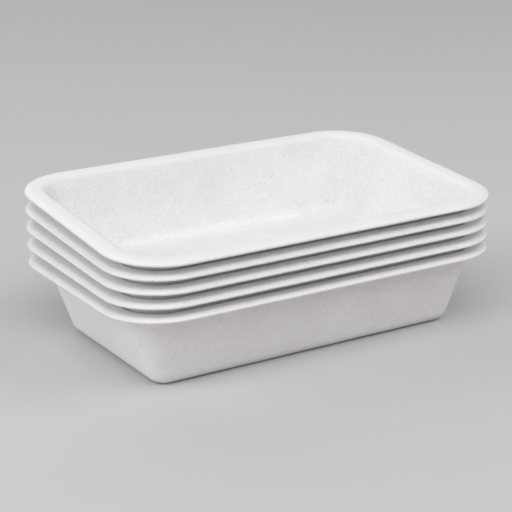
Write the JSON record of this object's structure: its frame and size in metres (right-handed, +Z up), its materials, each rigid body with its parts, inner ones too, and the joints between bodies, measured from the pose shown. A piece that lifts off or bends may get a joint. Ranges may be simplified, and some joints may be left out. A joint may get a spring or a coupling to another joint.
{
  "type": "stack of moulded fibre trays",
  "caption": "Nested stack of plain rectangular moulded fibre trays with sloping walls, round corners and flat rims, each leaning slightly forward in the one below; the top tray is open.",
  "frame": {"origin": "on the surface that the stack stands on, below the middle of the stack's outline", "axes": "+X along the trays' long side, +Y towards the back, where the rims stand wider apart, +Z up"},
  "size_m": [0.225, 0.1508, 0.0836],
  "materials": {
    "pressed_fibre": "matt off-white moulded plant fibre"
  },
  "bodies": {
    "root": {"tray_1": "pressed_fibre", "tray_2": "pressed_fibre", "tray_3": "pressed_fibre", "tray_4": "pressed_fibre", "tray_5": "pressed_fibre"}
  },
  "joints": []
}
